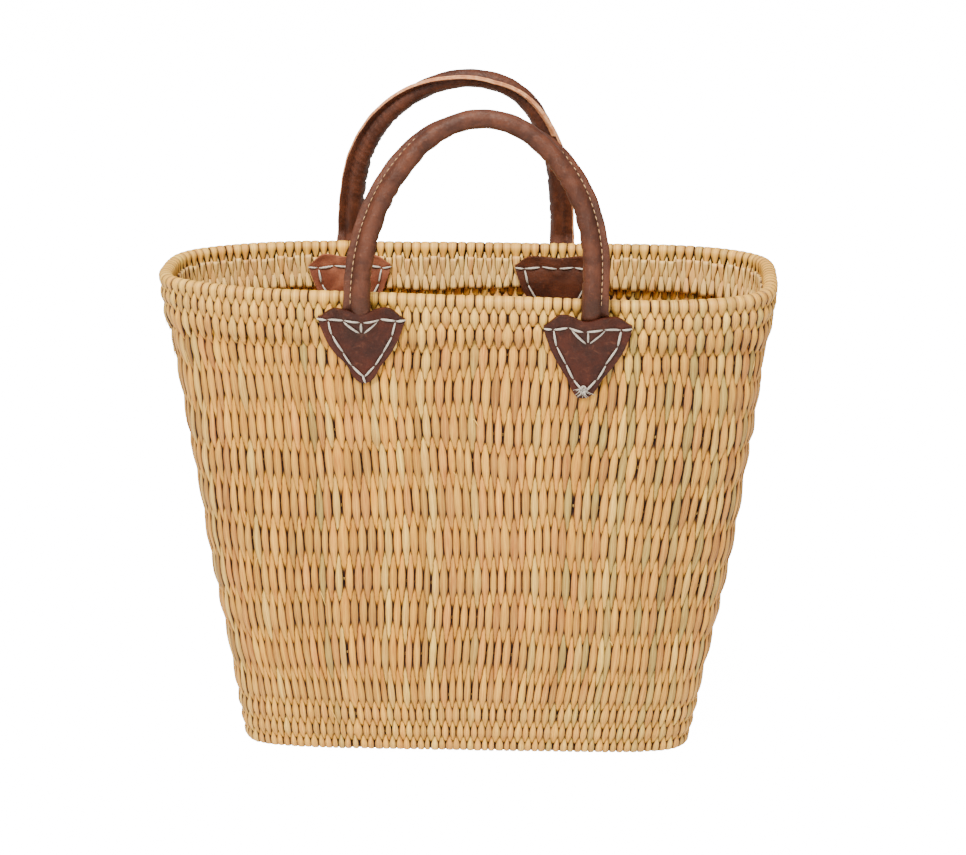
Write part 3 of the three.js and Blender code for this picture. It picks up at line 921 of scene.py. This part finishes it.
class Shield:
    """One leather patch: where it sits, and any point of it as a place on the wall."""

    def __init__(self, node_name, side, outer, wobble):
        low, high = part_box(node_name)
        self.x, self.top = (low.x + high.x) / 2 / MM, high.z / MM + 2.0
        self.height = (high.z - low.z) / MM + 3.4
        self.side, self.outer, self.wobble = side, outer, wobble
        self.tip = -3.2 if node_name == "front_right_outer_patch" else 1.6
        self.x += self.tip * 0.6 if self.tip < 0 else 0

    def top_edge(self, x):
        lobes = 8.0 * smooth(15, 31.5, np.abs(x)) ** 1.6 + 2.0 * np.exp(-((x / 8) ** 2))
        return lobes + 0.5 * np.sin(x / 4 + self.wobble)

    def bottom_edge(self, x):
        lean = x - self.tip * np.exp(-((x / 16) ** 2))
        edge = self.height * np.interp(np.abs(lean), SIDE_X, SIDE_DROP)
        return edge + 0.4 * np.sin(x / 3 + 2 * self.wobble)

    def lift(self, x, drop):
        """How far the leather stands off the middle of the wall."""
        band = np.interp(self.top - drop, [300, 311, 322], [0, 1.9, 2.4])
        hem = np.interp(self.top - drop, [296, 312, 318], [0, 2.9, 3.6])
        curl = 2.6 * np.clip(1 - drop / 9, 0, 1) ** 2 * smooth(4, 20, np.abs(x))
        waves = 0.5 * np.sin(x / 6 + self.wobble) * np.sin(drop / 8 + 2.1 * self.wobble)
        if not self.outer:
            return -(4.4 + hem + curl * 0.6 + waves * 0.5)
        flange = 2.2 * np.sign(self.x)
        hump = 9.0 * np.exp(-((np.abs(x - flange) / 13.5) ** 4)) * (1 - smooth(0, 30, drop)) ** 1.3
        slack = 1.2 * np.exp(-((x / 15) ** 2)) * (1 - smooth(20, 46, drop))
        return 4.2 + band + hump + slack + curl + waves

    def place(self, x, drop, above=0.0):
        x, drop = np.asarray(x, float), np.asarray(drop, float)
        height = self.top - drop
        around = around_at(self.x + x, height, self.side)
        spot, normal = wall(around, height)
        lift = self.lift(x, drop) + (above if self.outer else -above)
        return np.column_stack([spot + normal * lift[:, None], height])


print("corners of a shield's side:", len(SIDE_X))

# %% Stitches of a shield
def stitch_ends(shield):
    """Start and end of every stitch, as x and drop, with a small gap between stitches."""
    scale = shield.height / 53
    ends = []
    for sign in (-1, 1):
        for line in (TOP_LINE, STITCH_LINE):
            bend = [(sign * x + (1 - x / 30) * shield.tip * 0.65, drop * scale) for x, drop in line]
            ends += list(zip(bend[:-1], bend[1:]))
        if shield.outer:
            ends.append(((sign * 11.8, 8.0 * scale), (sign * 1.2, 17.2 * scale)))
    if shield.outer:
        ends.append(((0.2, 8.4 * scale), (0.2, 16.8 * scale)))
    shaken = []
    for start, end in ends:
        start, end = np.array(start), np.array(end)
        step = (end - start) / np.linalg.norm(end - start)
        jitter = chance.uniform(-0.35, 0.35, (2, 2))
        shaken.append((start + step * 0.55 + jitter[0], end - step * 0.55 + jitter[1]))
    return shaken


def dent(points, ends, width=1.5):
    """1 beside the stitches, 0 away from them."""
    nearest = np.full(len(points), 1e9)
    for start, end in ends:
        line = end - start
        share = np.clip(((points - start) @ line) / (line @ line), 0, 1)
        nearest = np.minimum(nearest, np.linalg.norm(points - start - share[:, None] * line, axis=1))
    return np.exp(-((nearest / width) ** 2))


print("stitches down one side of a shield:", len(TOP_LINE) + len(STITCH_LINE) - 2)


# %% Thread along paths
def thread_path(mesh, owner, local, rings, paths, radii):
    """Moves each tube on to its path, which gives places in millimetres for shares from 0 to 1."""
    points, grain_at = np.zeros_like(local), np.zeros_like(local)
    steps = np.linspace(0, 1, rings)
    helper = np.array([0.31, 0.83, 0.46])
    for k, (path, radius) in enumerate(zip(paths, radii)):
        mine = owner == k
        share = local[mine, 2] / (rings - 1)
        spine = path(steps)
        ahead = np.gradient(spine, axis=0)
        ahead /= np.linalg.norm(ahead, axis=1, keepdims=True)
        across = np.cross(ahead, helper)
        across /= np.linalg.norm(across, axis=1, keepdims=True)
        up = np.cross(across, ahead)
        ring = np.round(share * (rings - 1)).astype(int)
        end = np.sin(np.pi * np.clip(share, 0.06, 0.94)) ** 0.35
        reach = (radius * end)[:, None]
        points[mine] = spine[ring] + reach * (across[ring] * local[mine, :1] + up[ring] * local[mine, 1:2])
        size = np.linalg.norm(spine[-1] - spine[0])
        place_in_thread = [local[mine, 0] * radius + k * 5.3, local[mine, 1] * radius, share * size]
        grain_at[mine] = np.column_stack(place_in_thread)
    shape(mesh, points)
    attribute(mesh, "grain", grain_at)


# %% Cut a shield
HALF_SHIELD = SIDE_X[-1]


def cut_shield(name, shield, stitches):
    """A grid of leather in the outline of a shield, pulled in at every stitch."""
    bm = bmesh.new()
    bmesh.ops.create_grid(bm, x_segments=44, y_segments=36, size=1)
    mesh = bpy.data.meshes.new(name)
    bm.to_mesh(mesh)
    bm.free()
    local = places_of(mesh)
    x = HALF_SHIELD * np.sin(local[:, 0] * math.pi / 2)
    drop = between(shield.top_edge(x), shield.bottom_edge(x), (1 - local[:, 1]) / 2)
    pulled = dent(np.column_stack([x, drop]), stitches)
    shape(mesh, shield.place(x, drop, -0.55 * pulled))
    # Painted shade in the dents beside the stitches.
    attribute(mesh, "hollow_shade", pulled * 0.55)
    return mesh


print("a shield is cut", 2 * HALF_SHIELD, "mm wide")


# %% Thickness and stitches
LEATHER_THICKNESS = 1.9


def face_away(mesh, direction):
    """Turns an open sheet so that it faces along Y, forwards or backwards."""
    bm = bmesh.new()
    bm.from_mesh(mesh)
    if sum(f.normal.y for f in bm.faces) * direction < 0:
        bmesh.ops.reverse_faces(bm, faces=bm.faces)
    bm.to_mesh(mesh)
    bm.free()


def thicken(skin):
    solid = skin.modifiers.new("thickness", "SOLIDIFY")
    solid.thickness, solid.offset = LEATHER_THICKNESS * MM, -0.6
    rounding = skin.modifiers.new("soft_edge", "BEVEL")
    rounding.width, rounding.segments, rounding.limit_method = 0.35 * MM, 2, "ANGLE"


def stitch(shield, start, end):
    """A stitch that dives into the leather at both ends and lies on it between them."""
    def path(share):
        spots = start + (end - start) * share[:, None]
        return shield.place(spots[:, 0], spots[:, 1], -0.5 + 1.35 * np.sin(math.pi * share) ** 0.4)
    return path


print("leather for the shields:", LEATHER_THICKNESS, "mm thick")

# %% Sew on the eight shields
OVER_TIP = (np.array([0.2, 49.2]), np.array([2.0, 54.6]))
FEET = [f"{side}_{hand}" for side in ("front", "back") for hand in ("left", "right")]
for number, foot in enumerate(FEET):
    side = -1 if foot.startswith("front") else 1
    lining = handle_leather if foot.endswith("right") else lining_leather
    for kind, outer in (("outer", True), ("inner", False)):
        shield = Shield(f"{foot}_{kind}_patch", side, outer, 1.7 * number + outer)
        ends_of = stitch_ends(shield)
        if foot == "front_left" and outer:
            ends_of.append(OVER_TIP)
        mesh = cut_shield(f"{foot}_{kind}_shield", shield, ends_of)
        face_away(mesh, side if outer else -side)
        skin = piece(mesh, patch_leather if outer else lining)
        thicken(skin)
        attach(skin, "basket")
        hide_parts(f"{foot}_{kind}_patch")

        rings = 7
        mesh, owner = gather(f"{foot}_{kind}_stitches", [tube(6, rings)] * len(ends_of))
        paths = [stitch(shield, *ends) for ends in ends_of]
        radii = chance.uniform(0.68, 0.9, len(paths))
        thread_path(mesh, owner, places_of(mesh), rings, paths, radii)
        threads = piece(mesh, waxed_thread)
        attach(threads, "basket")
        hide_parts(f"{foot}_{kind}_stitching")
print("shields sewn:", 2 * len(FEET))

# %% [markdown]
# ## The knot
# On the right front shield the thread ends in a knot at the tip. Three loops of the same thread
# make the knot, and its ends are frayed into fine fibres that curl. They are tubes on paths, like
# the stitches, so they can lie on the leather and run off it on to the weave.

# %% The knot with frayed ends
knot_shield = Shield("front_right_outer_patch", -1, True, 2.7)
KNOT_X, KNOT_DROP, SHIELD_END = -2.6, 52.5, 64


def frayed(turn, length):
    """A fine end of thread that leaves the knot downwards and curls."""
    def path(share):
        curl = 1.4 * np.sin(share * 5 + turn * 3)
        x = KNOT_X + share * length * math.sin(turn) + curl * 0.5
        drop = np.clip(KNOT_DROP + share * length * math.cos(turn), 0, SHIELD_END)
        return knot_shield.place(x, drop, 0.6 + 1.8 * np.sin(share * 2.6) - share * 0.8)
    return path


def loop(tilt, size):
    """One of the turns of thread that make the knot."""
    def path(share):
        turn = share * 5.4 + tilt
        x = KNOT_X + size * np.cos(turn)
        drop = KNOT_DROP + size * 0.8 * np.sin(turn)
        return knot_shield.place(x, drop, 1.2 + 0.9 * np.sin(2 * turn + tilt))
    return path


FRAYS = 22
frays = [frayed(t, size) for t, size in zip(chance.uniform(-1.4, 1.1, FRAYS), chance.uniform(3.5, 9, FRAYS))]
loops = [loop(t, 1.1 + 0.25 * t) for t in (0.2, 1.4, 2.6)]
rings = 9
mesh, owner = gather("front_right_knot", [tube(6, rings)] * (len(frays) + len(loops)))
radii = [0.2] * len(frays) + [0.5] * len(loops)
thread_path(mesh, owner, places_of(mesh), rings, frays + loops, radii)
knot = piece(mesh, waxed_thread)
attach(knot, "basket")
print("frayed ends at the knot:", len(frays))

# %% [markdown]
# ## Loose fibres
# Dried rush splits, so here and there a fibre stands off the wall, most of all at the two ends of
# the rim. Each fibre is a thin tube on a curve of its own.

# %% Loose fibres
HEM_HEIGHT = 314


def loose(around, height, reach, drift, fall):
    """A thin fibre that has come away from the weave and curls outwards."""
    def path(share):
        level = height - fall * share**1.5
        spot, normal = wall(around + drift * share / girth(height), level)
        stand = 2.4 + (2.0 if height > HEM_HEIGHT else 0) + reach * share * np.sin(share * 2.4)
        return np.column_stack([spot + normal * stand[:, None], level])
    return path


all_round, left_end, right_end = (0, 1, 34), (0.98, 1.06, 10), (0.44, 0.53, 8)
spots = np.concatenate([chance.uniform(*part) for part in (all_round, left_end, right_end)])
heights = np.concatenate([chance.uniform(30, 340, 34), chance.uniform(296, 342, 18)])
fibre_paths = [
    loose(spot, height, *chance.uniform((0.4, -5, 3), (2.0, 5, 13)))
    for spot, height in zip(spots, heights)
]
rings = 8
mesh, owner = gather("loose_fibres", [tube(4, rings)] * len(fibre_paths))
radii = chance.uniform(0.25, 0.5, len(fibre_paths))
thread_path(mesh, owner, places_of(mesh), rings, fibre_paths, radii)
attribute(mesh, "tone", np.column_stack([np.tile(CREAM, (len(owner), 1)), np.ones(len(owner))]))
attribute(mesh, "shade", np.zeros(len(owner)))
strays = piece(mesh, reed_material)
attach(strays, "basket")
print(len(fibre_paths), "loose fibres")

# %% [markdown]
# ## The handles
# A handle is a strip of leather rolled round a rope. Its two edges are sewn together and stand out
# as a flange. The section is drawn once, as points round a tube with forty sides, and swept along
# the arch. On the way the flange rolls: it points outwards on the legs and leans over at the top.
# Each foot of the tube flattens and goes in under its shield.

# %% Section of the rolled leather
SECTION_SIDES = 40
TUBE_RADIUS = 6.6
FLANGE = [
    (11.3, 0.0), (11.75, 0.35), (11.8, 0.95), (11.4, 1.35),
    (9.6, 1.45), (7.9, 1.4), (6.9, 1.25), (6.3, 1.6),
]
FLANGE_ANGLE = 27


def section():
    """Points round the roll: the upper half of the flange, the roll, and the same mirrored."""
    upper = list(FLANGE)
    steps = SECTION_SIDES // 2 - len(FLANGE)
    for k in range(steps + 1):
        turn = math.radians(between(FLANGE_ANGLE, 180, k / steps))
        upper.append((TUBE_RADIUS * math.cos(turn), TUBE_RADIUS * math.sin(turn)))
    lower = [(out, -up) for out, up in upper[-2:0:-1]]
    return np.array(upper + lower)


SLEEVE = section()
print("section points:", len(SLEEVE))

# %% Arches of the two handles
LEAN = math.radians(10.5)
ARCHES = {
    "front": [
        (-69, -30), (-69, -15), (-69, 0), (-65, 35), (-50, 74), (-27, 103.5), (-7, 118),
        (20, 121.5), (45, 112), (73, 81), (88.5, 37), (88, 0), (88, -15), (88, -30),
    ],
    "back": [
        (-90, -30), (-89, -15), (-88, 0), (-84.5, 42), (-73, 77), (-49, 104), (-22, 118),
        (7, 121), (38, 107), (55, 72), (60.5, 42), (62, 0), (62, -15), (61, -30),
    ],
}
ROLL = {"front": [0, 5, 40, 78, 78, 40, 5, 0], "back": [0, -12, -35, -62, -72, -57, -25, -20]}
ROLL_AT = [0.0, 0.2, 0.38, 0.48, 0.56, 0.66, 0.8, 1.0]
STATIONS = 241
SMOOTHINGS = 160


def arch(corners):
    """An even, smooth curve through the corners."""
    c = np.array([corners[0]] + corners + [corners[-1]], float)
    run = []
    for a, b, d, e in zip(c[:-3], c[1:-2], c[2:-1], c[3:]):
        t = np.linspace(0, 1, 40, endpoint=False)[:, None]
        square, cube = 2 * a - 5 * b + 4 * d - e, 3 * b - a - 3 * d + e
        run.append(0.5 * (2 * b + (d - a) * t + square * t**2 + cube * t**3))
    run = np.concatenate(run + [c[-1:]])
    along = np.append(0, np.cumsum(np.linalg.norm(np.diff(run, axis=0), axis=1)))
    even = np.linspace(0, along[-1], STATIONS)
    line = np.column_stack([np.interp(even, along, run[:, k]) for k in (0, 1)])
    for _ in range(SMOOTHINGS):
        line[1:-1] = (line[:-2] + 2 * line[1:-1] + line[2:]) / 4
    return line, even


print("the front handle rises", max(rise for _x, rise in ARCHES["front"]), "mm above the rim")

# %% Directions along a handle
TUCK_DEPTH = 10.5


def handle_frame(name):
    """The spine of a handle and, at each station, the directions out of the arch and to the viewer."""
    side = -1 if name == "front" else 1
    joint = next(j for j in frame["joints"] if j["child"] == f"{name}_handle")
    pivot = np.array(joint["pos_m"]) / MM
    line, along = arch(ARCHES[name])
    rise = line[:, 1]
    tucked = 1 - smooth(-30, 4, rise)
    y = pivot[1] - side * np.sin(LEAN) * np.maximum(rise, 0) - side * tucked * TUCK_DEPTH
    z = pivot[2] + np.where(rise > 0, rise * math.cos(LEAN), rise)
    spine = np.column_stack([line[:, 0], y, z])
    ahead = np.gradient(spine, axis=0)
    ahead /= np.linalg.norm(ahead, axis=1, keepdims=True)
    viewer = np.array([0, -math.cos(LEAN), side * -math.sin(LEAN)])
    outwards = np.cross(viewer, ahead)
    outwards /= np.linalg.norm(outwards, axis=1, keepdims=True)
    if outwards[STATIONS // 2, 2] < 0:
        outwards = -outwards
    facing = np.cross(ahead, outwards)
    facing *= np.sign(facing[:, 1:2] * -1)
    return spine, outwards, facing, tucked, along, pivot


frames = {name: handle_frame(name) for name in ARCHES}
print("handle strips in mm:", {name: round(frames[name][4][-1]) for name in ARCHES})


# %% Places on the rolled leather
def sleeve_points(name, station, out, up):
    """Places of points given as a station along the handle and a place in its section."""
    spine, outwards, facing, tucked = frames[name][:4]
    low = np.clip(np.floor(station).astype(int), 0, STATIONS - 2)
    f = (station - low)[:, None]

    def read(table):
        return between(table[low], table[low + 1], f)

    share = station / (STATIONS - 1)
    roll = np.radians(np.interp(share, ROLL_AT, ROLL[name]))
    flat = between(tucked[low], tucked[low + 1], f[:, 0])
    e = out * np.cos(roll) + up * np.sin(roll)
    g = -out * np.sin(roll) + up * np.cos(roll)
    g = g * between(1, 0.36, flat)
    e = e * between(1, 1.06, flat)
    return read(spine) + read(outwards) * e[:, None] + read(facing) * g[:, None]


print("the roll leans over by", max(ROLL["front"]), "degrees at the top of the front handle")


# %% Creases and raw faces
RAW_CORNERS = {"front": {38, 39, 0, 1, 2}, "back": {37, 38, 39, 0, 1, 2, 3}}
WIDE_RAW, WIDE_FROM, WIDE_TO = {4, 5, 6}, 0.5, 0.71
STITCH_PITCH = 4.3
CREASES = 46


def creases(length, run):
    """Short creases across the inner side of the roll, where it is bent."""
    spots = chance.uniform(40, length - 40, CREASES)
    depths = chance.uniform(0.2, 0.95, CREASES)
    widths = chance.uniform(0.9, 2.2, CREASES)
    total = np.zeros(len(run))
    for spot, deep, wide in zip(spots, depths, widths):
        total += deep * np.exp(-(((run - spot) / wide) ** 2))
    return total


def mark_raw_faces(mesh, name, corner, station):
    """Gives the second material to the cut edge of the flange."""
    for face in mesh.polygons:
        share = station[face.vertices[0]] / STATIONS
        raw = RAW_CORNERS[name]
        if name == "back" and WIDE_FROM < share < WIDE_TO:
            raw = raw | WIDE_RAW
        if len(face.vertices) == 4 and all(corner[v] in raw for v in face.vertices):
            face.material_index = 1


print("creases on each handle:", CREASES)


# %% Roll the leather
def roll_leather(name, length):
    """The rolled strip: the straight tube moved on to the arch, with its creases and raw edge."""
    mesh = tube(SECTION_SIDES, STATIONS)
    mesh.name = f"{name}_handle_leather"
    local = places_of(mesh)
    station = local[:, 2]
    turn = np.arctan2(local[:, 1], local[:, 0])
    corner = np.round(turn / (2 * math.pi / SECTION_SIDES)).astype(int) % SECTION_SIDES
    out, up = SLEEVE[corner, 0], SLEEVE[corner, 1]
    run = station / (STATIONS - 1) * length
    inner_side = np.clip(-out / TUBE_RADIUS, 0, 1) ** 1.5
    notches = creases(length, run)
    ripple = 0.16 * np.sin(run / 5.1 + 3 * up) + 0.12 * np.sin(run / 2.3 + 5 * out / TUBE_RADIUS)
    if name == "back":
        left_leg = smooth(0.1, 0.2, station / STATIONS) * (1 - smooth(0.3, 0.4, station / STATIONS))
        ripple += left_leg * 0.35 * np.sin(run * 1.3 + 0.8 * up)
    tube_part = 1 - smooth(5.5, 8.2, out)
    pinch = 1 - (np.minimum(notches, 1.1) * inner_side + ripple * tube_part * 0.8) / TUBE_RADIUS
    fringe = np.where(out > 8, 0.25 * np.sin(run / 3.7) * np.sin(run / 9 + 1), 0)
    shape(mesh, sleeve_points(name, station, out * np.where(out > 8, 1, pinch) + fringe, up * pinch))
    # Painted shade along the groove of the seam, broken into spots at the stitch pitch on the back handle,
    # and in the creases on the inner side of the roll.
    seam_dip = np.exp(-(((out - TUBE_RADIUS) / 1.1) ** 2)) * 0.55
    holes = 0.6
    if name == "back":
        holes = smooth(0.2, 0.8, np.sin(run * 2 * math.pi / STITCH_PITCH))
    attribute(mesh, "hollow_shade", np.clip(seam_dip * holes * 1.5 + notches * inner_side * 0.25, 0, 1))
    mark_raw_faces(mesh, name, corner, station)
    faces_outwards(mesh)
    return mesh


# %% Rope core
ROPE_RADIUS = 3.9
ROPE_STEPS = 80


def twist_rope(name):
    """The rope inside the roll, of three strands."""
    rope = tube(8, ROPE_STEPS + 1)
    rope.name = f"{name}_handle_rope"
    local = places_of(rope)
    station = between(16, STATIONS - 17, local[:, 2] / ROPE_STEPS)
    turn = np.arctan2(local[:, 1], local[:, 0])
    reach = ROPE_RADIUS + 0.4 * np.cos(3 * turn)
    lay = turn + local[:, 2] * 0.5
    shape(rope, sleeve_points(name, station, reach * np.cos(lay), reach * np.sin(lay)))
    attribute(rope, "grain", np.column_stack([turn * 4, reach, local[:, 2] * 4]))
    return rope


print("the rope is", 2 * ROPE_RADIUS, "mm thick")

# %% Running stitches of the seam
STITCH_LENGTH = 2.9
SEAM_START = 24
SEAM_OUT = 6.75


def running_stitch(name, begin, reach, face):
    """One stitch on a face of the flange, from a station along the handle."""
    def path(share):
        above = face * (1.55 + 0.75 * np.sin(math.pi * share) ** 0.5)
        return sleeve_points(name, begin + share * reach, np.full(len(share), SEAM_OUT), above)
    return path


def sew_seam(name, length):
    first = SEAM_START / length * (STATIONS - 1)
    last = (1 - SEAM_START / length) * (STATIONS - 1)
    count = int((length - 2 * SEAM_START) / STITCH_PITCH)
    starts = np.linspace(first, last, count, endpoint=False)
    if name == "back":
        starts = starts[(starts < 0.3 * STATIONS) | (starts > 0.8 * STATIONS)]
    reach = STITCH_LENGTH / length * (STATIONS - 1)
    flange_faces = (1, -1) if name == "front" else (-1,)
    paths = [running_stitch(name, s, reach, face) for face in flange_faces for s in starts]
    rings = 5
    mesh, owner = gather(f"{name}_handle_stitches", [tube(5, rings)] * len(paths))
    thread_path(mesh, owner, places_of(mesh), rings, paths, [0.3] * len(paths))
    print(name, "handle:", round(length), "mm of leather,", len(paths), "stitches")
    return mesh


# %% Put the handles together
for name in ARCHES:
    along, pivot = frames[name][4:]
    sleeve = piece(roll_leather(name, along[-1]), handle_leather, raw_edge)
    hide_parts(f"{name}_handle_sleeve", f"{name}_left_strap_end", f"{name}_right_strap_end")
    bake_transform(sleeve)

    core = piece(twist_rope(name), cord_material)
    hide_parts(f"{name}_handle_core")
    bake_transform(core)

    seam = piece(sew_seam(name, along[-1]), seam_thread)
    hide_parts(f"{name}_handle_seam")
    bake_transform(seam)

# %% [markdown]
# ## Camera, floor and light
# The camera looks slightly down on the front. The floor is pale and the light soft: a bright sky
# all round, a key lamp from the upper left, a weak one from the right to fill the shadows, and one
# above that lights the inside.

# %% Camera
TARGET = Vector((0, 0, 0.170))
camera = bpy.data.objects.new("camera", bpy.data.cameras.new("camera"))
camera.location = (0.1156, -2.4794, 0.9440)
camera.rotation_euler = (TARGET - camera.location).to_track_quat("-Z", "Y").to_euler()
camera.data.lens = 134.8
camera.data.sensor_width = 36
camera.data.shift_x = 0.0156
camera.data.shift_y = 0.0800
camera.data.clip_end = 50
bpy.context.scene.collection.objects.link(camera)
bpy.context.scene.camera = camera
print("camera to target:", round((TARGET - camera.location).length, 2), "m")

# %% Floor
bm = bmesh.new()
bmesh.ops.create_grid(bm, x_segments=4, y_segments=4, size=6)
floor_mesh = bpy.data.meshes.new("floor")
bm.to_mesh(floor_mesh)
bm.free()
floor_material, tree, shader = material("pale_floor", 0.9)
shader.inputs["Base Color"].default_value = (0.75, 0.75, 0.75, 1)
shader.inputs["Emission Color"].default_value = (1, 1, 1, 1)
seen = node(tree, "ShaderNodeLightPath").outputs["Is Camera Ray"]
feed(tree, shader.inputs["Emission Strength"], maths(tree, "MULTIPLY_ADD", seen, 15.5, 0.2))
floor = piece(floor_mesh, floor_material)
print("floor:", floor.name)

# %% Sky and lamps
LAMPS = {
    "key_lamp": ((-1.1, -2.0, 2.6), 0.7, 150),
    "fill_lamp": ((1.8, -1.9, 1.2), 1.6, 20),
    "top_lamp": ((0.1, -0.9, 2.6), 0.8, 85),
}
world = bpy.data.worlds.new("studio")
bpy.context.scene.world = world
world.use_nodes = True
world.node_tree.nodes["Background"].inputs["Color"].default_value = (1, 0.96, 0.9, 1)
world.node_tree.nodes["Background"].inputs["Strength"].default_value = 0.52
for name, (spot, size, power) in LAMPS.items():
    lamp = bpy.data.objects.new(name, bpy.data.lights.new(name, "AREA"))
    lamp.data.size = size
    lamp.data.energy = power
    lamp.data.color = (1.0, 0.93, 0.82)
    lamp.location = spot
    lamp.rotation_euler = (TARGET - lamp.location).to_track_quat("-Z", "Y").to_euler()
    bpy.context.scene.collection.objects.link(lamp)
print("lamps:", ", ".join(LAMPS))
